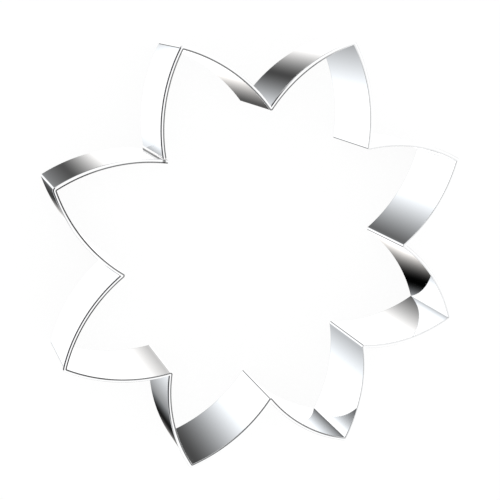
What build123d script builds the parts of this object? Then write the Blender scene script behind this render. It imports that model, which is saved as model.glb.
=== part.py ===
from build123d import *
import os
from math import atan2, cos, degrees, hypot, pi, sin

# Petal cookie cutter: one stainless strip stood on edge, bent into an eight-petal flower
# and closed by a weld in one of its valleys. Lengths are in millimetres.
# The flower's axis is Z, the cutting edge lies on z = 0 and four tips point along X and Y.

# Sizes of the whole cutter
petal_count = 8
span_over_tips = 105.2
cutter_height = 19.0
valley_reach = 34.4
side_radius = 36.9

# Sizes of the strip and its bends, where the tightest one is the least radius drawn anywhere
strip_thickness = 0.45
tip_inside_radius = 0.06
valley_inside_radius = 0.06
tightest_bend = 0.03

# Sizes of the thick rim, which is flush inside, stands out on the outside and has eased corners
rim_width = 0.84
rim_height = 0.84
rim_flat_width = 0.36

# Sizes of the ground cutting edge
edge_land_width = 0.16
edge_bevel_height = 0.80

# Sizes of the joint where the two ends of the strip meet
root_gap = 0.10
end_overhang = 0.10
weld_leg = 0.35
weld_hollow = 0.04

# Angles and radii that follow from the sizes above
half_pitch = pi / petal_count
seam_angle = pi / 2 + half_pitch
half_thickness = strip_thickness / 2
rim_reach = rim_width - half_thickness
rim_easing = (rim_width - rim_flat_width) / 2
rim_neck = rim_reach - half_thickness
wall_height = cutter_height - rim_height
tip_bend_radius = tip_inside_radius + half_thickness
valley_bend_radius = valley_inside_radius + half_thickness


def point(centre, radius, angle):
    """The point at a distance and an angle from a centre."""
    return (centre[0] + radius * cos(angle), centre[1] + radius * sin(angle))


def direction(start, end):
    """The angle of the line from one point to another."""
    return atan2(end[1] - start[1], end[0] - start[0])


def circles_meet(first, first_radius, second, second_radius, side):
    """Where two circles cross, on the left (side 1) or right (side -1) of first to second."""
    apart = hypot(second[0] - first[0], second[1] - first[1])
    along = (apart**2 + first_radius**2 - second_radius**2) / (2 * apart)
    across = side * (first_radius**2 - along**2) ** 0.5
    heading = direction(first, second)
    return point(point(first, along, heading), across, heading + pi / 2)


def arc(centre, radius, start, end):
    """A circular edge between two angles, running the way the second lies from the first."""
    turn = (end - start + pi) % (2 * pi) - pi
    return CenterArc(centre, radius, degrees(start), degrees(turn))


class Petal:
    """The centres of one petal's bends and sides, all measured to the middle of the strip."""

    def __init__(self, axis_angle):
        origin = (0, 0)
        tip_centre_reach = span_over_tips / 2 - rim_reach - tip_bend_radius
        valley_centre_reach = valley_reach + valley_bend_radius
        self.tip = point(origin, tip_centre_reach, axis_angle)
        self.right_valley = point(origin, valley_centre_reach, axis_angle - half_pitch)
        self.left_valley = point(origin, valley_centre_reach, axis_angle + half_pitch)
        to_tip = side_radius - tip_bend_radius
        to_valley = side_radius + valley_bend_radius
        self.right_side = circles_meet(self.tip, to_tip, self.right_valley, to_valley, -1)
        self.left_side = circles_meet(self.tip, to_tip, self.left_valley, to_valley, 1)


petals = [Petal(seam_angle + (2 * turn + 1) * half_pitch) for turn in range(petal_count)]
through_wall = petals[0].right_side
butting_wall = petals[-1].left_side


def near_crossing(first, first_radius, second, second_radius, near):
    """The crossing of two circles that lies nearest to a point."""
    crossings = [circles_meet(first, first_radius, second, second_radius, side) for side in (1, -1)]
    return min(crossings, key=lambda crossing: hypot(crossing[0] - near[0], crossing[1] - near[1]))


def seam_corner(through_radius, butting_radius):
    """Where an arc along the first wall crosses an arc along the last, in the seam valley."""
    valley = point((0, 0), valley_reach, seam_angle)
    return near_crossing(through_wall, through_radius, butting_wall, butting_radius, valley)


# The first wall runs through the seam valley, a little past the inner face of the last wall.
through_corner = seam_corner(side_radius, side_radius - half_thickness)
through_end = direction(through_wall, through_corner) - end_overhang / side_radius

# The last wall is cut square, and both corners of its rim stop just short of the first one's rim.
gap_radius = side_radius + rim_reach + root_gap
outer_stop = direction(butting_wall, seam_corner(gap_radius, side_radius + rim_reach))
inner_stop = direction(butting_wall, seam_corner(gap_radius, side_radius - half_thickness))
butting_end = min(outer_stop, inner_stop)


def strip_outline(offset):
    """The edges of the strip's outline, offset from its middle, from end to end."""
    edges = []
    wall_radius = side_radius + offset
    tip_radius = max(tip_bend_radius + offset, tightest_bend)
    valley_radius = max(valley_bend_radius - offset, tightest_bend)
    to_tip = wall_radius - tip_radius
    to_valley = wall_radius + valley_radius
    start = through_end
    for index, petal in enumerate(petals):
        tip = near_crossing(petal.right_side, to_tip, petal.left_side, to_tip, petal.tip)
        right_turn = direction(petal.right_side, tip)
        left_turn = direction(petal.left_side, tip)
        edges.append(arc(petal.right_side, wall_radius, start, right_turn))
        edges.append(arc(tip, tip_radius, right_turn, left_turn))
        if index == petal_count - 1:
            edges.append(arc(petal.left_side, wall_radius, left_turn, butting_end))
            return edges
        following = petals[index + 1].right_side
        valley = near_crossing(petal.left_side, to_valley, following, to_valley, petal.left_valley)
        end = direction(petal.left_side, valley)
        start = direction(following, valley)
        edges.append(arc(petal.left_side, wall_radius, left_turn, end))
        edges.append(arc(valley, valley_radius, end + pi, start + pi))


class Layer:
    """A slice of the strip, flush inside, and as far out from its middle as a reach."""

    def __init__(self, reach):
        self.width = reach + half_thickness
        self.outer = strip_outline(reach)
        self.inner = strip_outline(-half_thickness)
        self.first_end = Line(self.inner[0] @ 0, self.outer[0] @ 0)
        self.last_end = Line(self.outer[-1] @ 1, self.inner[-1] @ 1)

    def solid(self, floor, height):
        """The slice as a solid that stands on a level."""
        profile = make_face(self.outer + self.inner + [self.first_end, self.last_end])
        return extrude(Pos(0, 0, floor) * profile, height)

    def long_edges(self, face):
        """The edges of a level face that follow the strip, without its two ends."""
        return [edge for edge in face.edges() if not self.is_end(edge)]

    def outer_edges(self, face):
        """The edges of a level face that lie on the strip's outer side."""
        return [edge for edge in self.long_edges(face) if self.is_outer(edge)]

    def gap(self, edge, others):
        """How far an edge's middle lies from a row of edges, seen from above."""
        middle = edge @ 0.5
        return min(other.distance_to(Vertex(middle.X, middle.Y, 0)) for other in others)

    def is_outer(self, edge):
        """Does this edge follow the strip's outer side rather than its inner one?"""
        return self.gap(edge, self.outer) < self.gap(edge, self.inner)

    def is_end(self, edge):
        """Is this edge one of the strip's two square ends?"""
        return self.gap(edge, [self.first_end, self.last_end]) < self.width / 4


def petal_band():
    """The bent strip: an even wall with a thick eased rim and a ground cutting edge."""
    wall = Layer(half_thickness)
    wall_solid = wall.solid(0, wall_height)
    sole = wall_solid.faces().sort_by(Axis.Z)[0]
    depth = strip_thickness - edge_land_width
    wall_solid = chamfer(wall.outer_edges(sole), depth, edge_bevel_height, reference=sole)
    rim = Layer(rim_reach)
    rim_solid = rim.solid(wall_height, rim_height)
    rim_solid = chamfer(rim.outer_edges(rim_solid.faces().sort_by(Axis.Z)[0]), rim_neck)
    rim_solid = chamfer(rim.long_edges(rim_solid.faces().sort_by(Axis.Z)[-1]), rim_easing)
    return wall_solid + rim_solid


def seam_weld():
    """The weld metal: a hollow fillet down the outside of the joint, and the root behind it."""
    outer_radius = side_radius + half_thickness
    inner_radius = side_radius - half_thickness
    butting_corner = point(butting_wall, outer_radius, butting_end)
    leg_turn = weld_leg / side_radius
    corner_foot = direction(through_wall, butting_corner)
    through_toe = point(through_wall, outer_radius, corner_foot + leg_turn)
    butting_toe = point(butting_wall, outer_radius, butting_end - leg_turn)
    root_corner = point(butting_wall, inner_radius, butting_end)
    root_foot_angle = direction(through_wall, root_corner)
    root_foot = point(through_wall, outer_radius, root_foot_angle)
    middle = ((through_toe[0] + butting_toe[0]) / 2, (through_toe[1] + butting_toe[1]) / 2)
    crown = point(middle, weld_hollow, direction(middle, butting_corner))
    outline = [
        ThreePointArc(through_toe, crown, butting_toe),
        arc(butting_wall, outer_radius, butting_end - leg_turn, butting_end),
        Line(butting_corner, root_corner),
        Line(root_corner, root_foot),
        arc(through_wall, outer_radius, root_foot_angle, corner_foot + leg_turn),
    ]
    height = wall_height - edge_bevel_height
    return extrude(Pos(0, 0, edge_bevel_height) * make_face(outline), height)


os.makedirs("parts", exist_ok=True)
export_step(petal_band(), "parts/petal_band.step")
export_step(seam_weld(), "parts/seam_weld.step")
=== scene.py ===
"""A petal cookie cutter: one polished strip bent on edge, the weld that closes it, and its stage."""

from math import atan2, cos, hypot, pi, radians, sin

import bpy
from bpy.props import FloatProperty, FloatVectorProperty, IntProperty, PointerProperty
from bpy.types import Operator, Panel, PropertyGroup
from mathutils import Matrix, Vector


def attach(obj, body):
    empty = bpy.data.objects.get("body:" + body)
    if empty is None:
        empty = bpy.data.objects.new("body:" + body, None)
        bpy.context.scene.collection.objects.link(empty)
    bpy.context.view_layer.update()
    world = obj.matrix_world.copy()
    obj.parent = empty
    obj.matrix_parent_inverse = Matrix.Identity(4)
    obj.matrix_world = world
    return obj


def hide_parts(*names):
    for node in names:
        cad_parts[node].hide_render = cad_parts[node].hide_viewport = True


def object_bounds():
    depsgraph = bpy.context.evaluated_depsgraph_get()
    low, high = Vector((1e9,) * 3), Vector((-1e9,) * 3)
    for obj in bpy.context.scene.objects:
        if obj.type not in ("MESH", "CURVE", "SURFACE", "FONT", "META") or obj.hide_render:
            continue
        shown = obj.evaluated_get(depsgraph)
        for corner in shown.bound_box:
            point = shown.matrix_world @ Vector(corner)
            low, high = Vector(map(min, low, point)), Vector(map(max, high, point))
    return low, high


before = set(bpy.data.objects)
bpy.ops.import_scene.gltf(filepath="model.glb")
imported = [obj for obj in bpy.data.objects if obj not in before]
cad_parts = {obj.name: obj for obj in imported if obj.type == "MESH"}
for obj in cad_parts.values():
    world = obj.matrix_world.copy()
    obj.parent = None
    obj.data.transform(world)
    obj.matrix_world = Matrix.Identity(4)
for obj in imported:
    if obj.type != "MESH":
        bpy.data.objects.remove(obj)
CAD_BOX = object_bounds()

bl_info = {
    "name": "Petal Cookie Cutter",
    "version": (1, 0, 0),
    "blender": (4, 5, 0),
    "location": "3D View > Sidebar > Cutter",
    "description": "Makes a petal cookie cutter from its sizes, with its finishes and a pale stage",
    "category": "Object",
}


# Limits for making meshes, in metres and radians

MERGE_DISTANCE = 1e-6
SHARP_RADIUS = 1e-9
BAND_CREASE = radians(15)
WELD_CREASE = radians(35)


# Sizes and colours that a user would change


def length(name, description, default):
    """A property that holds a length in metres."""
    kind = {"precision": 6, "unit": "LENGTH", "subtype": "DISTANCE"}
    return FloatProperty(name=name, description=description, default=default, **kind)


def angle(name, description, default):
    """A property that holds an angle, given here in degrees."""
    kind = {"unit": "ROTATION", "subtype": "ANGLE"}
    return FloatProperty(name=name, description=description, default=radians(default), **kind)


def share(name, description, default):
    """A property that holds a plain share of something."""
    return FloatProperty(name=name, description=description, default=default, subtype="FACTOR")


def whole_number(name, description, default, least):
    """A property that holds a whole number."""
    kind = {"min": least, "subtype": "UNSIGNED"}
    return IntProperty(name=name, description=description, default=default, **kind)


def colour(name, description, default):
    """A property that holds a colour."""
    kind = {"size": 3, "min": 0, "max": 1, "subtype": "COLOR"}
    return FloatVectorProperty(name=name, description=description, default=default, **kind)


class StripSizes(PropertyGroup):
    """Sizes of the strip, its bends, its rim and its cutting edge."""

    petals: whole_number("Petals", "Petals round the flower", 8, 5)
    span: length("Span Over Tips", "Across two opposite tips", CAD_BOX[1].x - CAD_BOX[0].x)
    height: length("Height", "From the cutting edge to the rim", CAD_BOX[1].z - CAD_BOX[0].z)
    valley_reach: length("Valley Reach", "From the axis to the outer face in a valley", 0.0344)
    side_radius: length("Side Radius", "Radius of the bulging sides", 0.0369)
    thickness: length("Thickness", "Thickness of the strip", 0.00045)
    tip_radius: length("Tip Inside Radius", "Inside radius of the bend at a tip", 0.00006)
    valley_radius: length("Valley Inside Radius", "Inside radius of the bend in a valley", 0.00006)
    rim_width: length("Rim Width", "Width of the thick rim, which is flush inside", 0.00084)
    rim_height: length("Rim Height", "Height of the thick rim", 0.00084)
    outer_round: length("Rim Outer Rounding", "Radius of the rim's outer corner", 0.0004)
    inner_round: length("Rim Inner Rounding", "Radius of the rim's inner corner", 0.00012)
    land: length("Edge Land Width", "Flat width of the cutting edge", 0.00016)
    bevel: length("Edge Bevel Height", "Height of the ground bevel", 0.0008)
    side_steps: whole_number("Side Steps", "Steps along a side", 40, 8)
    bend_steps: whole_number("Bend Steps", "Steps round a bend", 20, 4)
    rim_steps: whole_number("Rim Steps", "Steps round a quarter of the rim", 7, 2)


class JointSizes(PropertyGroup):
    """Sizes of the joint where the strip's ends meet, and of its weld."""

    root_gap: length("Root Gap", "Gap between the butting end and the wall that runs through", 0.0001)
    overhang: length("End Overhang", "How far the through end stands past the inner face", 0.0001)
    leg: length("Weld Leg", "Width of the weld along each wall", 0.0001)
    hollow: length("Weld Hollow", "How far the weld's face sinks below a straight line", 0.00002)
    ripple: length("Ripple Pitch", "Distance between two ripples of the weld", 0.00045)
    ripple_depth: length("Ripple Depth", "How deep the ripples are", 0.000012)


class SteelFinish(PropertyGroup):
    """Colours and polish of the steel, with the colour and sizes of its painted reflection and shadow
    lines.
    """

    steel: colour("Polished Steel", "Colour of the polished strip", (0.92, 0.924, 0.93))
    weld: colour("Weld Metal", "Colour of the weld", (0.86, 0.86, 0.865))
    # Colour of the painted dark reflection on the rim, of the painted shadows at the cutting edge and
    # beside the weld, and of the weld's burn mark
    scale: colour("Dull Colour", "Colour of the dull line and of the weld's marks", (0.06, 0.06, 0.06))
    # Width, blur and strongest side of the painted dark reflection along the rim's inner corner
    painted_reflection_width: length("Dull Width", "Width of that line", 0.00032)
    painted_reflection_blur: length("Dull Blur", "Width over which that line's sides fade", 0.0000333)
    painted_reflection_side: angle("Dull Side", "Direction of the side where that line is plainest", 160)
    burn_radius: length("Burn Radius", "How far the weld's dark mark reaches on the rim", 0.000504)
    burn_blur: length("Burn Blur", "Width over which that mark fades", 0.00028)
    # Painted shadow line where the weld meets the wall that runs through
    weld_shadow_width: length("Weld Toe Width", "Width of the dark line along one side of the weld", 0.00026)
    weld_shadow_blur: length("Weld Toe Blur", "Width over which that dark line fades", 0.00005)
    edge_shade: length("Edge Shade Height", "Height of the darker line along the cutting edge", 0.00018)
    polish: share("Polish Roughness", "Roughness of the polished faces", 0.03)
    ground: share("Ground Roughness", "Roughness of the ground bevel and the cut ends", 0.26)


class StageLook(PropertyGroup):
    """The pale floor, the light and the two darker sides of the studio that the steel mirrors."""

    floor_size: length("Floor Size", "Length of the floor's sides", 4.0)
    floor_colour: colour("Floor Colour", "Colour of the floor", (0.94, 0.94, 0.94))
    lamp_size: length("Lamp Size", "Width of the soft lamp", 0.5)
    lamp_power: FloatProperty(
        name="Lamp Power", description="Power of the soft lamp", default=1.4, unit="POWER"
    )
    near_side: angle("First Dark Side", "Direction of the first darker side", 71.2)
    far_side: angle("Second Dark Side", "Direction of the second darker side", -110.5)
    camera_side: angle("Camera Side", "Direction of the darker room behind the camera", 149)
    lens: FloatProperty(
        name="Lens", description="Focal length of the camera in mm", default=71.12, subtype="NONE"
    )


# Sums and nodes


class Value:
    """One output of a node, on which sums are written as Python expressions."""

    def __init__(self, nodes, socket):
        self.nodes = nodes
        self.socket = socket

    def __add__(self, other):
        return self.nodes.maths("ADD", self, other)

    def __radd__(self, other):
        return self.nodes.maths("ADD", other, self)

    def __sub__(self, other):
        return self.nodes.maths("SUBTRACT", self, other)

    def __rsub__(self, other):
        return self.nodes.maths("SUBTRACT", other, self)

    def __mul__(self, other):
        return self.nodes.maths("MULTIPLY", self, other)

    def __rmul__(self, other):
        return self.nodes.maths("MULTIPLY", other, self)

    def __truediv__(self, other):
        return self.nodes.maths("DIVIDE", self, other)

    def __rtruediv__(self, other):
        return self.nodes.maths("DIVIDE", other, self)

    def __pow__(self, other):
        return self.nodes.maths("POWER", self, other)

    def __neg__(self):
        return self.nodes.maths("MULTIPLY", self, -1)

    def __gt__(self, other):
        return self.nodes.maths("GREATER_THAN", self, other)

    def __lt__(self, other):
        return self.nodes.maths("LESS_THAN", self, other)


class Nodes:
    """Adds nodes to one tree."""

    def __init__(self, tree):
        self.tree = tree

    def add(self, kind, settings=None, sockets=None, output=0):
        """Adds a node, makes its settings and then fills its sockets, and gives one of its outputs."""
        node = self.tree.nodes.new(kind)
        for name, setting in (settings or {}).items():
            setattr(node, name, setting)
        for key, value in (sockets or {}).items():
            if isinstance(value, Value):
                self.tree.links.new(value.socket, node.inputs[key])
            else:
                node.inputs[key].default_value = value
        return Value(self, node.outputs[output] if node.outputs else None)

    def maths(self, operation, *operands):
        """A sum on numbers and values."""
        return self.add("ShaderNodeMath", {"operation": operation}, dict(enumerate(operands)))

    def within(self, value, low=0.0, high=1.0):
        """The value kept between two limits."""
        return self.maths("MINIMUM", self.maths("MAXIMUM", value, low), high)

    def ramp(self, value, start, end):
        """Nothing up to the start, all from the end, and even steps between."""
        return self.within((value - start) * (1 / (end - start)))

    def blend(self, start, end, amount):
        """A number between two others."""
        return start + (end - start) * amount

    def vector(self, x, y, z):
        """Three numbers as one vector."""
        return self.add("ShaderNodeCombineXYZ", sockets={0: x, 1: y, 2: z})

    def parts(self, vector):
        """The three numbers of a vector."""
        first = self.add("ShaderNodeSeparateXYZ", sockets={0: vector})
        return [Value(self, socket) for socket in first.socket.node.outputs]

    def mixed(self, start, end, amount):
        """A colour between two others."""
        settings = {"data_type": "RGBA", "clamp_factor": True}
        return self.add("ShaderNodeMix", settings, {0: amount, 6: start, 7: end}, output=2)


def bearing(across, along):
    """The angle of a direction, for numbers and for values."""
    if isinstance(across, Value):
        return across.nodes.maths("ARCTAN2", across, along)
    return atan2(across, along)


# The flower's outline, worked out in one petal that points along X


class PetalArcs:
    """Centres, radii and angles of one petal's arcs, measured to the middle of the strip."""

    def __init__(self, half_pitch_ray, span, valley_reach, side_radius, thickness, rim, tip, valley):
        self.tip_radius = tip + thickness / 2
        self.valley_radius = valley + thickness / 2
        self.side_radius = side_radius
        self.tip_x = span / 2 - (rim - thickness / 2) - self.tip_radius
        reach = valley_reach + self.valley_radius
        self.valley_x = reach * half_pitch_ray[0]
        self.valley_y = reach * half_pitch_ray[1]
        back = self.valley_x - self.tip_x
        apart = (back**2 + self.valley_y**2) ** 0.5
        to_tip = side_radius - self.tip_radius
        to_valley = side_radius + self.valley_radius
        along = (apart**2 + to_tip**2 - to_valley**2) / (apart * 2)
        across = (to_tip**2 - along**2) ** 0.5
        self.side_x = self.tip_x + (back * along - self.valley_y * across) / apart
        self.side_y = -(self.valley_y * along + back * across) / apart
        self.valley_turn = bearing(-self.valley_y - self.side_y, self.valley_x - self.side_x)
        self.tip_turn = bearing(-self.side_y, self.tip_x - self.side_x)


def point(centre, radius, turn):
    """The point at a distance and an angle from a centre."""
    return (centre[0] + radius * cos(turn), centre[1] + radius * sin(turn))


def direction(start, end):
    """The angle of the line from one point to another."""
    return atan2(end[1] - start[1], end[0] - start[0])


def crossing(first, first_radius, second, second_radius, near):
    """Where two circles cross, near a point."""
    apart = hypot(second[0] - first[0], second[1] - first[1])
    along = (apart**2 + first_radius**2 - second_radius**2) / (2 * apart)
    across = (first_radius**2 - along**2) ** 0.5
    heading = direction(first, second)
    foot = point(first, along, heading)
    found = [point(foot, side * across, heading + pi / 2) for side in (1, -1)]
    return min(found, key=lambda place: hypot(place[0] - near[0], place[1] - near[1]))


class Joint:
    """The welded valley: the centres of its two walls and where the strip's ends stop."""

    def __init__(self, sizes, joint):
        half_pitch = pi / sizes.petals
        self.turn = pi / 2 + half_pitch
        arcs = PetalArcs(
            (cos(half_pitch), sin(half_pitch)),
            sizes.span,
            sizes.valley_reach,
            sizes.side_radius,
            sizes.thickness,
            sizes.rim_width,
            sizes.tip_radius,
            sizes.valley_radius,
        )
        reach = hypot(arcs.side_x, arcs.side_y)
        lean = atan2(arcs.side_y, arcs.side_x)
        self.through = point((0, 0), reach, self.turn + half_pitch + lean)
        self.butting = point((0, 0), reach, self.turn - half_pitch - lean)
        self.outer = sizes.side_radius + sizes.thickness / 2
        self.inner = sizes.side_radius - sizes.thickness / 2
        rim_outer = self.inner + sizes.rim_width
        valley = point((0, 0), sizes.valley_reach, self.turn)
        corner = crossing(self.through, sizes.side_radius, self.butting, self.inner, valley)
        through_start = self.turn + half_pitch + arcs.valley_turn
        through_end = direction(self.through, corner) - joint.overhang / sizes.side_radius
        self.through_extra = wrapped(through_start - through_end)
        gap_radius = rim_outer + joint.root_gap
        stops = []
        for face in (rim_outer, self.inner):
            stop = crossing(self.through, gap_radius, self.butting, face, valley)
            stops.append(direction(self.butting, stop))
        self.butting_end = min(stops)
        foot = direction(self.through, point(self.butting, self.outer, self.butting_end))
        self.meeting = point(self.through, self.outer + joint.root_gap, foot)
        self.butting_short = wrapped(self.turn - half_pitch - arcs.valley_turn - self.butting_end)


def wrapped(turn):
    """The same angle between minus and plus half a turn."""
    return (turn + pi) % (2 * pi) - pi


# The band


BAND_SIZES = {
    "Span Over Tips": "span",
    "Height": "height",
    "Valley Reach": "valley_reach",
    "Side Radius": "side_radius",
    "Thickness": "thickness",
    "Tip Inside Radius": "tip_radius",
    "Valley Inside Radius": "valley_radius",
    "Rim Width": "rim_width",
    "Rim Height": "rim_height",
    "Rim Outer Rounding": "outer_round",
    "Rim Inner Rounding": "inner_round",
    "Edge Land Width": "land",
    "Edge Bevel Height": "bevel",
}


def band_tree(sizes, joint, material):
    """The rule of the band: a closed section that runs along the petals' arcs from end to end."""
    tree = bpy.data.node_groups.new("Petal Band", "GeometryNodeTree")
    tree.is_modifier = True
    tree.interface.new_socket("Geometry", in_out="OUTPUT", socket_type="NodeSocketGeometry")
    tree.interface.new_socket("Geometry", in_out="INPUT", socket_type="NodeSocketGeometry")
    settings = {name: getattr(sizes, kept) for name, kept in BAND_SIZES.items()}
    settings["First End Extra Turn"] = joint.through_extra
    settings["Last End Short Turn"] = joint.butting_short
    settings["Seam Direction"] = joint.turn
    counts = {
        "Petals": sizes.petals,
        "Side Steps": sizes.side_steps,
        "Bend Steps": sizes.bend_steps,
        "Rim Steps": sizes.rim_steps,
    }
    for name in settings:
        tree.interface.new_socket(name, in_out="INPUT", socket_type="NodeSocketFloat")
    for name in counts:
        tree.interface.new_socket(name, in_out="INPUT", socket_type="NodeSocketInt")
    settings.update(counts)

    nodes = Nodes(tree)
    entry = tree.nodes.new("NodeGroupInput")
    given = {name: Value(nodes, entry.outputs[name]) for name in settings}
    petals, side, bend = (given[name] for name in ("Petals", "Side Steps", "Bend Steps"))
    stations = petals * (side + bend) * 2 - bend + 1
    columns = given["Rim Steps"] * 3 + 8
    counts_of_grid = {"Vertices X": stations + 2, "Vertices Y": columns}
    grid = nodes.add("GeometryNodeMeshGrid", sockets=counts_of_grid)
    index = nodes.add("GeometryNodeInputIndex")
    row = nodes.maths("FLOOR", (index + 0.5) / columns)
    column = index - row * columns
    is_end = 1 - (row > 0.5) * (row < stations + 0.5)
    station = nodes.within(row - 1, 0, stations - 1)
    across, up = band_section(nodes, given, column)
    across = nodes.blend(across, 0, is_end)
    up = nodes.blend(up, given["Height"] / 2, is_end)
    x, y, along = band_path(nodes, given, station, across)

    position = nodes.vector(x, y, up)
    placed = nodes.add("GeometryNodeSetPosition", sockets={"Geometry": grid, "Position": position})
    place = nodes.vector(along, up, across)
    settings_of_store = {"data_type": "FLOAT_VECTOR", "domain": "POINT"}
    marked = nodes.add(
        "GeometryNodeStoreNamedAttribute",
        settings_of_store,
        {"Geometry": placed, "Name": "strip_place", "Value": place},
    )
    merge = {"Geometry": marked, "Distance": MERGE_DISTANCE}
    closed = nodes.add("GeometryNodeMergeByDistance", sockets=merge)
    turned = nodes.add("GeometryNodeFlipFaces", sockets={0: closed})
    edge_turn = nodes.add("GeometryNodeInputMeshEdgeAngle")
    all_faces = {"Geometry": turned, "Shade Smooth": True}
    smooth = nodes.add("GeometryNodeSetShadeSmooth", {"domain": "FACE"}, all_faces)
    creases = {"Geometry": smooth, "Selection": edge_turn > BAND_CREASE, "Shade Smooth": False}
    creased = nodes.add("GeometryNodeSetShadeSmooth", {"domain": "EDGE"}, creases)
    real = nodes.add("GeometryNodeRealizeInstances", sockets={"Geometry": creased})
    finished = nodes.add("GeometryNodeSetMaterial", sockets={"Geometry": real, "Material": material})
    leave = tree.nodes.new("NodeGroupOutput")
    tree.links.new(finished.socket, leave.inputs[0])
    return tree, settings


def band_section(nodes, given, column):
    """Where a column of the section lies: across the strip, outward, and up from the cutting edge."""
    half = given["Thickness"] / 2
    neck = given["Rim Width"] - given["Thickness"]
    outer_round, inner_round = given["Rim Outer Rounding"], given["Rim Inner Rounding"]
    steps = given["Rim Steps"]
    turns = [nodes.within((column - 1 - quarter * (steps + 1)) / steps) for quarter in range(3)]
    turn = (turns[0] + turns[1] + turns[2] - 1) * (pi / 2)
    is_top = column > steps + 1.5
    is_inner = column > steps * 2 + 2.5
    radius = pick(nodes, neck, (is_top, outer_round), (is_inner, inner_round))
    centre = pick(nodes, half, (is_top, half + neck - outer_round), (is_inner, inner_round - half))
    level = nodes.blend(neck - given["Rim Height"], -radius, is_top) + given["Height"]
    across = centre + radius * nodes.maths("COSINE", turn)
    up = level + radius * nodes.maths("SINE", turn)
    last = steps * 3 + 4
    is_below = column > last - 0.5
    clear_of_rounding = 1.15
    up = nodes.blend(up, given["Height"] - inner_round * clear_of_rounding, is_below)
    is_foot = column > last + 0.5
    is_land = column > last + 1.5
    is_bevel = nodes.maths("MAXIMUM", column < 0.5, column > last + 2.5)
    across = nodes.blend(across, -half, is_foot)
    across = nodes.blend(across, given["Edge Land Width"] - half, is_land)
    across = nodes.blend(across, half, is_bevel)
    up = nodes.blend(up * (1 - is_foot), given["Edge Bevel Height"], is_bevel)
    return across, up


def band_path(nodes, given, station, across):
    """Where a station lies on the floor plan, moved across the strip, and how far along it is."""
    half_pitch = pi / given["Petals"]
    side, bend = given["Side Steps"], given["Bend Steps"]
    ray_x, ray_y = nodes.maths("COSINE", half_pitch), nodes.maths("SINE", half_pitch)
    arcs = PetalArcs(
        (ray_x, ray_y),
        given["Span Over Tips"],
        given["Valley Reach"],
        given["Side Radius"],
        given["Thickness"],
        given["Rim Width"],
        given["Tip Inside Radius"],
        given["Valley Inside Radius"],
    )
    steps = (side + bend) * 2
    petal = nodes.maths("FLOOR", (station + 0.5) / steps)
    step = station - petal * steps
    is_first = petal < 0.5
    is_last = petal > given["Petals"] - 1.5
    right = nodes.within(step / side)
    tip = nodes.within((step - side) / bend)
    left = nodes.within((step - side - bend) / side)
    valley = nodes.within((step - side * 2 - bend) / bend)
    in_tip = (step > side + 0.5) * (step < side + bend - 0.5)
    in_left = (step > side + bend - 0.5) * (step < side * 2 + bend + 0.5)
    in_valley = step > side * 2 + bend + 0.5

    wall = arcs.side_radius + across
    tip_radius = nodes.within(arcs.tip_radius + across, 0, 1)
    is_sharp_tip = tip_radius < SHARP_RADIUS
    corner_turn = nodes.maths("ARCSINE", -arcs.side_y / wall)
    tip_end = nodes.blend(arcs.tip_turn, corner_turn, is_sharp_tip)
    corner_x = arcs.side_x + wall * nodes.maths("COSINE", corner_turn)
    tip_x = nodes.blend(arcs.tip_x, corner_x, is_sharp_tip)
    valley_radius = nodes.within(arcs.valley_radius - across, 0, 1)
    is_sharp_valley = valley_radius < SHARP_RADIUS
    toward = arcs.side_x * ray_x - arcs.side_y * ray_y
    aside = arcs.side_x * ray_y + arcs.side_y * ray_x
    reach = toward + (wall**2 - aside**2) ** 0.5
    valley_x = nodes.blend(arcs.valley_x, reach * ray_x, is_sharp_valley)
    valley_y = nodes.blend(arcs.valley_y, reach * ray_y, is_sharp_valley)
    bend_end = nodes.maths("ARCTAN2", -arcs.side_y - reach * ray_y, reach * ray_x - arcs.side_x)
    valley_end = nodes.blend(arcs.valley_turn, bend_end, is_sharp_valley)

    first_start = arcs.valley_turn - given["First End Extra Turn"]
    last_end = -arcs.valley_turn - given["Last End Short Turn"]
    start_turn = nodes.blend(valley_end, first_start, is_first)
    end_turn = nodes.blend(-valley_end, last_end, is_last)
    right_turn = nodes.blend(start_turn, tip_end, right)
    tip_turn = tip_end * (1 - tip * 2)
    left_turn = nodes.blend(-tip_end, end_turn, left)
    sweep = arcs.tip_turn - arcs.valley_turn
    valley_sweep = half_pitch * 2 + arcs.valley_turn * 2
    valley_turn = pi - arcs.valley_turn + valley_sweep * valley
    turn = pick(nodes, right_turn, (in_tip, tip_turn), (in_left, left_turn), (in_valley, valley_turn))
    centre_x = pick(nodes, arcs.side_x, (in_tip, tip_x), (in_valley, valley_x))
    centre_y = pick(nodes, arcs.side_y, (in_tip, 0), (in_left, -arcs.side_y), (in_valley, valley_y))
    radius = pick(nodes, wall, (in_tip, tip_radius), (in_valley, valley_radius))
    petal_turn = given["Seam Direction"] + half_pitch + half_pitch * 2 * petal
    petal_cos, petal_sin = nodes.maths("COSINE", petal_turn), nodes.maths("SINE", petal_turn)
    x = centre_x * petal_cos - centre_y * petal_sin + radius * nodes.maths("COSINE", turn + petal_turn)
    y = centre_x * petal_sin + centre_y * petal_cos + radius * nodes.maths("SINE", turn + petal_turn)

    side_length = arcs.side_radius * sweep
    tip_length = arcs.tip_radius * arcs.tip_turn * -2
    valley_length = arcs.valley_radius * valley_sweep * -1
    petal_length = side_length * 2 + tip_length + valley_length
    bends = tip_length * tip + valley_length * valley
    along = petal * petal_length + side_length * (right + left) + bends
    return x, y, along


def pick(nodes, usual, *others):
    """The usual value, or the one whose test is true."""
    for test, value in others:
        usual = nodes.blend(usual, value, test)
    return usual


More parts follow.
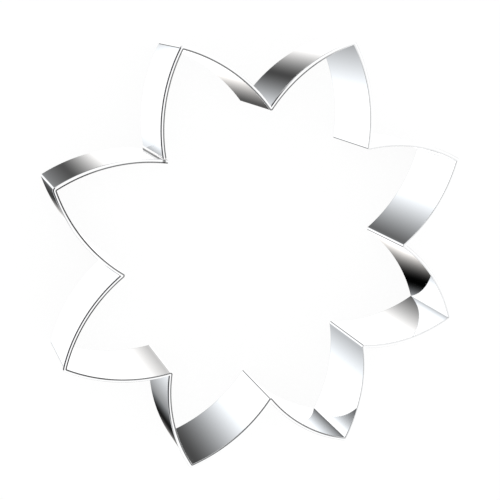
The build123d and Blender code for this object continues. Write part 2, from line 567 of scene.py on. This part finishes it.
def piece_by_rule(name, tree, settings):
    """A plain mesh object made by a Geometry Nodes tree with these inputs."""
    carrier = bpy.data.objects.new(name + "_rule", bpy.data.meshes.new(name + "_rule"))
    bpy.context.scene.collection.objects.link(carrier)
    modifier = carrier.modifiers.new("Rule", "NODES")
    modifier.node_group = tree
    for item in tree.interface.items_tree:
        if item.in_out == "INPUT" and item.name in settings:
            modifier[item.identifier] = settings[item.name]
    carrier.update_tag()
    graph = bpy.context.evaluated_depsgraph_get()
    mesh = bpy.data.meshes.new_from_object(carrier.evaluated_get(graph), depsgraph=graph)
    bpy.data.objects.remove(carrier)
    if not mesh.polygons:
        raise RuntimeError(name + " came out empty")
    mesh.name = name
    piece = bpy.data.objects.new(name, mesh)
    bpy.context.scene.collection.objects.link(piece)
    return piece


class MakeBand(Operator):
    """Make the bent strip with its rounded rim and ground cutting edge"""

    bl_idname = "cutter.make_band"
    bl_label = "Make Band"

    def execute(self, context):
        scene = context.scene
        sizes = scene.strip_sizes
        joint = Joint(sizes, scene.joint_sizes)
        tree, settings = band_tree(sizes, joint, polished_steel(sizes, joint, scene.steel_finish))
        band = piece_by_rule("bent_strip", tree, settings)
        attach(band, "root")
        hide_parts("petal_band")
        return {"FINISHED"}


# The weld


def weld_rows(sizes, joint_sizes, joint):
    """The weld's outline at each height, with a ripple in its hollow face."""
    leg_turn = joint_sizes.leg / sizes.side_radius
    corner = point(joint.butting, joint.outer, joint.butting_end)
    foot = direction(joint.through, corner)
    through_toe = point(joint.through, joint.outer, foot + leg_turn)
    butting_toe = point(joint.butting, joint.outer, joint.butting_end - leg_turn)
    root_corner = point(joint.butting, joint.inner, joint.butting_end)
    root_foot = direction(joint.through, root_corner)
    middle = ((through_toe[0] + butting_toe[0]) / 2, (through_toe[1] + butting_toe[1]) / 2)
    inward = direction(middle, corner)
    face_steps, wall_steps, rows = 12, 4, 150
    ripple_share, ripple_fullness = 0.8, 0.7
    low, high = sizes.bevel, sizes.height - sizes.rim_height
    for row in range(rows + 1):
        up = low + (high - low) * row / rows
        wave = up / joint_sizes.ripple
        ripple = joint_sizes.ripple_depth * abs(sin(pi * wave))
        ring = []
        for step in range(face_steps + 1):
            t = step / face_steps
            hollow = joint_sizes.hollow * 4 * t * (1 - t)
            dip = hollow - ripple * ripple_share * sin(pi * t) ** ripple_fullness
            straight = (
                through_toe[0] + (butting_toe[0] - through_toe[0]) * t,
                through_toe[1] + (butting_toe[1] - through_toe[1]) * t,
            )
            ring.append(point(straight, dip, inward))
        for step in range(1, wall_steps + 1):
            turn = joint.butting_end - leg_turn * (1 - step / wall_steps)
            ring.append(point(joint.butting, joint.outer, turn))
        ring.append(root_corner)
        for step in range(wall_steps):
            turn = root_foot + (foot + leg_turn - root_foot) * step / wall_steps
            ring.append(point(joint.through, joint.outer, turn))
        yield [(x, y, up) for x, y in ring]


def closed_tube(name, rings):
    """A closed mesh through rings of points, with flat ends."""
    count = len(rings[0])
    points = [place for ring in rings for place in ring]
    faces = [tuple(range(count)), tuple(len(points) - 1 - step for step in range(count))]
    for start in range(0, len(points) - count, count):
        for step in range(count):
            here = start + step
            beside = start + (step + 1) % count
            faces.append((here, here + count, beside + count, beside))
    mesh = bpy.data.meshes.new(name)
    mesh.from_pydata(points, [], faces)
    mesh.validate()
    mesh.shade_smooth()
    mesh.set_sharp_from_angle(angle=WELD_CREASE)
    piece = bpy.data.objects.new(name, mesh)
    bpy.context.scene.collection.objects.link(piece)
    return piece


class MakeWeld(Operator):
    """Make the rippled weld that joins the strip's ends"""

    bl_idname = "cutter.make_weld"
    bl_label = "Make Weld"

    def execute(self, context):
        scene = context.scene
        joint = Joint(scene.strip_sizes, scene.joint_sizes)
        rings = list(weld_rows(scene.strip_sizes, scene.joint_sizes, joint))
        weld = closed_tube("weld_bead", rings)
        weld.data.materials.append(weld_metal(joint, scene.steel_finish))
        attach(weld, "root")
        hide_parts("seam_weld")
        return {"FINISHED"}


# Finishes


def new_material(name):
    """An empty node material and its nodes."""
    material = bpy.data.materials.new(name)
    material.use_nodes = True
    material.node_tree.nodes.clear()
    return material, Nodes(material.node_tree)


def give_surface(nodes, shader):
    """Sets what a material shows."""
    nodes.add("ShaderNodeOutputMaterial", sockets={"Surface": shader})


def texture(nodes, place, scale, detail, lean=0.0):
    """Cloudy noise on places in metres, with its own scale in each direction."""
    stretch = {"Vector": place, "Rotation": (0, 0, lean), "Scale": scale}
    stretched = nodes.add("ShaderNodeMapping", sockets=stretch)
    sockets = {"Vector": stretched, "Scale": 1.0, "Detail": detail}
    return nodes.add("ShaderNodeTexNoise", sockets=sockets)


def metal(nodes, tone, roughness, depth, strength=1.0):
    """A metal surface with a tone, a roughness and a fine relief in metres."""
    relief = {"Strength": strength, "Distance": 1.0, "Height": depth}
    bump = nodes.add("ShaderNodeBump", sockets=relief)
    sockets = {"Base Color": tone, "Metallic": 1.0, "Roughness": roughness, "Normal": bump}
    return nodes.add("ShaderNodeBsdfPrincipled", sockets=sockets)


def measured(nodes, operation, first, second):
    """A number that a Vector Math node works out from two vectors."""
    settings = {"operation": operation}
    return nodes.add("ShaderNodeVectorMath", settings, {0: first, 1: second}, output="Value")


def painted_shade_and_burn_lines(nodes, sizes, joint, finish, up, across):
    """How dark the strip is painted: first a painted dark reflection along the rim's inner corner, then
    the weld's burn mark and a painted shade at the edge.
    """
    half = sizes.thickness / 2
    from_inner_face = across + half
    blur = finish.painted_reflection_blur
    # Painted dark reflection: a line along the rim's inner corner
    starts = nodes.within(from_inner_face / blur - 0.5)
    ends = nodes.within((finish.painted_reflection_width - from_inner_face) / blur + 0.5)
    on_painted_reflection = starts * ends * (up > sizes.height - sizes.inner_round)

    on_part = nodes.add("ShaderNodeTexCoord", output="Object")
    side = nodes.vector(cos(finish.painted_reflection_side), sin(finish.painted_reflection_side), 0)
    toward_share = measured(nodes, "DOT_PRODUCT", on_part, side) / (sizes.span / 2)
    # The painted dark reflection fades on one side of the cutter and is full on the other
    faint, usual, full = 0.16, 0.86, 1.0
    painted_reflection_strength = nodes.blend(faint, usual, nodes.ramp(toward_share, -0.397, -0.237))
    painted_reflection_strength = painted_reflection_strength + nodes.ramp(toward_share, 0.722, 0.776) * (full - usual)

    seam = nodes.vector(*joint.meeting, sizes.height)
    from_seam = measured(nodes, "DISTANCE", on_part, seam)
    burn = nodes.within((finish.burn_radius - from_seam) / finish.burn_blur)
    # Painted contact shade along the cutting edge, added to the weld's burn mark on the rim
    burn_strength, edge_strength = 0.8, 0.3
    marks = burn * burn_strength + (up < finish.edge_shade) * edge_strength
    return on_painted_reflection * painted_reflection_strength, marks


def polished_steel(sizes, joint, finish):
    """Mirror-polished stainless strip: faint polish lines, a painted dark reflection and painted shade,
    the weld's burn mark and a ground bevel.
    """
    material, nodes = new_material("polished_steel")
    place = nodes.add("ShaderNodeAttribute", {"attribute_name": "strip_place"}, output="Vector")
    _along, up, across = nodes.parts(place)
    lines = texture(nodes, place, (90, 14000, 14000), 2.0)
    smears = texture(nodes, place, (160, 260, 260), 3.0)
    grind = texture(nodes, place, (9000, 500, 500), 3.0, lean=0.35)
    line_depth, smear_depth, grind_depth = 4e-8, 1.5e-6, 3e-6

    inner_skin = 0.01 * sizes.thickness - sizes.thickness / 2
    on_bevel = (up < sizes.bevel) * (across > inner_skin)
    painted_rim_reflection, marks = painted_shade_and_burn_lines(nodes, sizes, joint, finish, up, across)
    # Painted dark reflection and painted edge shade, with the weld's burn mark; these also make the
    # steel a little rougher
    painted_shade_and_burn = painted_rim_reflection * (0.85 + grind * 0.3) + marks
    polish = finish.polish * (0.7 + lines * 0.5 + smears * 0.5) + painted_shade_and_burn * 0.3
    roughness = nodes.blend(polish, finish.ground * (0.7 + grind * 0.6), on_bevel)
    ground_colour = [0.93 * part for part in finish.steel]
    darker = on_bevel * 0.7 + smears * 0.12
    clean = nodes.mixed((*finish.steel, 1), (*ground_colour, 1), darker)
    # Painted shade: the tone turns to the dark colour under the painted lines and the burn mark
    tone = nodes.mixed(clean, (*finish.scale, 1), painted_shade_and_burn)
    depth = lines * line_depth + smears * smear_depth + grind * on_bevel * grind_depth
    give_surface(nodes, metal(nodes, tone, roughness, depth))
    return material


def weld_metal(joint, finish):
    """Bright weld metal with a faint straw tint, and a painted shadow line along the wall that runs
    through.
    """
    material, nodes = new_material("weld_metal")
    place = nodes.add("ShaderNodeTexCoord", output="Object")
    grain = texture(nodes, place, (5200, 5200, 5200), 3.0)
    stain = texture(nodes, place, (900, 900, 900), 2.0)
    grain_depth = 8e-6
    straw = (finish.weld[0] * 0.96, finish.weld[1] * 0.93, finish.weld[2] * 0.88, 1)
    x, y, _up = nodes.parts(place)
    from_middle = ((x - joint.through[0]) ** 2 + (y - joint.through[1]) ** 2) ** 0.5
    # Painted shadow where the weld meets the wall that runs through
    painted_weld_shadow = nodes.within((finish.weld_shadow_width - (from_middle - joint.outer)) / finish.weld_shadow_blur)
    bright = nodes.mixed((*finish.weld, 1), straw, nodes.within(stain * 2.4 - 1))
    tone = nodes.mixed(bright, (*finish.scale, 1), painted_weld_shadow * 0.95)
    roughness = 0.1 + grain * 0.14
    give_surface(nodes, metal(nodes, tone, roughness, grain * grain_depth, strength=0.6))
    return material


# The stage


def floor_finish(look):
    """A white floor that keeps a soft shadow, and that mirrored rays pass to reach the studio."""
    material, nodes = new_material("pale_floor")
    white_share = 0.93
    rays = nodes.add("ShaderNodeLightPath")
    seen = Value(nodes, rays.socket.node.outputs["Is Camera Ray"])
    mirrored = Value(nodes, rays.socket.node.outputs["Is Glossy Ray"])
    matte = nodes.add("ShaderNodeBsdfDiffuse", sockets={"Color": (*look.floor_colour, 1)})
    white = nodes.add("ShaderNodeEmission", sockets={"Color": (1, 1, 1, 1), "Strength": 1.0})
    shown = nodes.add("ShaderNodeMixShader", sockets={0: seen * white_share, 1: matte, 2: white})
    clear = nodes.add("ShaderNodeBsdfTransparent")
    give_surface(nodes, nodes.add("ShaderNodeMixShader", sockets={0: mirrored, 1: shown, 2: clear}))
    return material


def dark_side(nodes, off, floor, before, after, softness):
    """Brightness near one darker side of the studio, for an angle off its middle."""
    distance = (off**2 + softness**2) ** 0.5 - softness
    return floor + nodes.blend(before, after, off > 0) * distance


def low_studio(nodes, look, turn, drop):
    """Colour of the studio's lower part, for a direction's turn and its drop below level.

    Each darker side has a middle that shifts with the drop, a least brightness there and a rise of
    brightness in each direction. The levels are as the camera sees them, so they are raised to the
    screen's power and divided by the share of light that the steel keeps.
    """
    steep = nodes.ramp(drop, radians(72.45), radians(75.31))
    medium = nodes.ramp(drop, radians(65), radians(67.05))
    slight = nodes.ramp(drop, radians(60.02), radians(58.04))
    lower = drop - radians(65)

    near_off = nodes.maths("WRAP", turn - look.near_side + lower * 0.249, pi, -pi)
    near_floor = 0.2865 + steep * 0.04 - lower * 0.023
    near_softness = radians(2.5)

    far_turn = nodes.maths("WRAP", turn - look.far_side, pi, -pi)
    slight_shift = radians(8.2) + (drop - radians(55.43)) * 4.6
    slight_shift = slight * nodes.maths("MINIMUM", slight_shift, radians(15.5))
    far_off = far_turn - steep * radians(8.37) + medium * radians(5.5) + slight_shift
    far_floor = 0.152 - slight * 0.04 + lower * 0.487
    far_softness = radians(2.87) + slight * radians(4) + steep * radians(2.87)

    darkest, brightest = 0.02, 1.06
    screen_power, steel_share = 2.2, 0.92
    channels = []
    for warmth in (-0.02, 0.0, 0.02):
        near_before = 1.467 * (1 - warmth * 0.4)
        near_after = (1 - steep * 0.45) * 1.209 * (1 + warmth)
        near = dark_side(nodes, near_off, near_floor, near_before, near_after, near_softness)
        far_before = (1.6 + slight) * (1 + warmth)
        far_after = (1.444 + medium * 0.33 + steep * 0.62) * (1 - warmth * 0.8)
        far = dark_side(nodes, far_off, far_floor, far_before, far_after, far_softness)
        glow = 0.32 - far_turn * 0.76 * (1 + warmth) - slight * 0.07 + (far_off > 0) * 4
        darker = nodes.maths("MINIMUM", near, nodes.maths("MINIMUM", far, glow))
        shown = nodes.within(darker, darkest, brightest)
        channels.append(shown**screen_power / steel_share)
    return nodes.add("ShaderNodeCombineColor", sockets=dict(enumerate(channels)))


def high_studio(nodes, look, turn, z):
    """Colour of the studio above: white, with soft grey streaks and a dark place behind the camera."""
    is_lower = nodes.ramp(z, -0.18, -0.347)
    streak_count, streak_turn = 4, 0.6
    wave = nodes.maths("COSINE", turn * streak_count + streak_turn)
    streaks = nodes.within(wave * 0.8 + 0.1)
    white, grey, soft_grey, black = 1.12, 0.4, 0.3, 0.03
    open_sky = nodes.mixed((white, white, white, 1), (grey, grey, 0.41, 1), streaks * is_lower)
    dark_place = nodes.mixed((black, black, 0.032, 1), (soft_grey, soft_grey, 0.31, 1), is_lower)
    behind_camera = nodes.ramp(nodes.maths("COSINE", turn - look.camera_side), 0.54, 0.74)
    return nodes.mixed(open_sky, dark_place, behind_camera * nodes.ramp(z, 0.87, 0.77))


def studio_light(look):
    """The white light of the room, and the studio round it that only polished steel mirrors."""
    world = bpy.data.worlds.new("studio")
    world.use_nodes = True
    world.node_tree.nodes.clear()
    nodes = Nodes(world.node_tree)
    x, y, z = nodes.parts(nodes.add("ShaderNodeTexCoord", output="Generated"))
    turn = nodes.maths("ARCTAN2", y, x)
    drop = nodes.maths("ARCTAN2", -z, (x * x + y * y) ** 0.5)
    straight_down = nodes.ramp(z, -0.9825, -0.9875)
    low = nodes.mixed(low_studio(nodes, look, turn, drop), (0.03, 0.03, 0.032, 1), straight_down)
    mirrored = nodes.mixed(low, high_studio(nodes, look, turn, z), nodes.ramp(z, -0.74, -0.69))
    rays = nodes.add("ShaderNodeLightPath")
    glossy = Value(nodes, rays.socket.node.outputs["Is Glossy Ray"])
    plain = nodes.add("ShaderNodeBackground", sockets={"Color": (1, 1, 1, 1), "Strength": 1.0})
    studio = nodes.add("ShaderNodeBackground", sockets={"Color": mirrored, "Strength": 1.0})
    shown = nodes.add("ShaderNodeMixShader", sockets={0: glossy, 1: plain, 2: studio})
    nodes.add("ShaderNodeOutputWorld", sockets={"Surface": shown})
    return world


def place_camera(scene, look):
    """The camera at the photograph's viewing angle."""
    data = bpy.data.cameras.new("camera")
    camera = bpy.data.objects.new("camera", data)
    scene.collection.objects.link(camera)
    data.lens = look.lens
    data.sensor_width = 36
    target = Vector((-0.001425, 0.000779, 0.0095))
    distance = 0.23417
    azimuth, elevation, roll = radians(-150.428), radians(64.761), radians(124.951)
    back = Vector((sin(azimuth) * cos(elevation), -cos(azimuth) * cos(elevation), sin(elevation)))
    level = back.to_track_quat("Z", "Y").to_matrix()
    turned = level @ Matrix.Rotation(roll, 3, "Z")
    camera.matrix_world = Matrix.LocRotScale(target + back * distance, turned, None)
    data.clip_start, data.clip_end = 0.01, 50
    scene.camera = camera


class MakeStage(Operator):
    """Make the pale floor, the light and the camera"""

    bl_idname = "cutter.make_stage"
    bl_label = "Make Stage"

    def execute(self, context):
        scene = context.scene
        look = scene.stage_look
        half = look.floor_size / 2
        mesh = bpy.data.meshes.new("floor")
        gap = 0.00002
        corners = [(x * half, y * half, -gap) for x, y in ((-1, -1), (1, -1), (1, 1), (-1, 1))]
        mesh.from_pydata(corners, [], [(0, 1, 2, 3)])
        mesh.materials.append(floor_finish(look))
        floor = bpy.data.objects.new("floor", mesh)
        scene.collection.objects.link(floor)
        scene.world = studio_light(look)
        lamp_data = bpy.data.lights.new("soft_lamp", "AREA")
        lamp_data.shape = "DISK"
        lamp_data.size = look.lamp_size
        lamp_data.energy = look.lamp_power
        lamp = bpy.data.objects.new("soft_lamp", lamp_data)
        lamp.location = (-0.15, 0.2, 0.6)
        lamp.rotation_mode = "QUATERNION"
        lamp.rotation_quaternion = Vector(lamp.location).to_track_quat("Z", "Y")
        lamp.visible_glossy = False
        scene.collection.objects.link(lamp)
        place_camera(scene, look)
        scene.view_settings.view_transform = "Standard"
        return {"FINISHED"}


class CutterPanel(Panel):
    """The cutter's sizes, finishes and stage"""

    bl_idname = "VIEW3D_PT_petal_cutter"
    bl_label = "Petal Cutter"
    bl_space_type = "VIEW_3D"
    bl_region_type = "UI"
    bl_category = "Cutter"

    def draw(self, context):
        for group_name in GROUPS:
            group = getattr(context.scene, group_name)
            box = self.layout.box()
            for name in group.bl_rna.properties.keys():
                if name not in ("rna_type", "name"):
                    box.prop(group, name)
        for operator in (MakeBand, MakeWeld, MakeStage):
            self.layout.operator(operator.bl_idname)


GROUPS = {
    "strip_sizes": StripSizes,
    "joint_sizes": JointSizes,
    "steel_finish": SteelFinish,
    "stage_look": StageLook,
}
CLASSES = (*GROUPS.values(), MakeBand, MakeWeld, MakeStage, CutterPanel)


def register():
    """Adds the cutter's properties, operators and panel."""
    for cls in CLASSES:
        bpy.utils.register_class(cls)
    for name, group in GROUPS.items():
        setattr(bpy.types.Scene, name, PointerProperty(type=group))


def unregister():
    """Removes the cutter's properties, operators and panel."""
    for name in GROUPS:
        delattr(bpy.types.Scene, name)
    for cls in reversed(CLASSES):
        bpy.utils.unregister_class(cls)


def main():
    """Makes the whole scene."""
    register()
    bpy.ops.cutter.make_band()
    bpy.ops.cutter.make_weld()
    bpy.ops.cutter.make_stage()


if __name__ == "__main__":
    main()
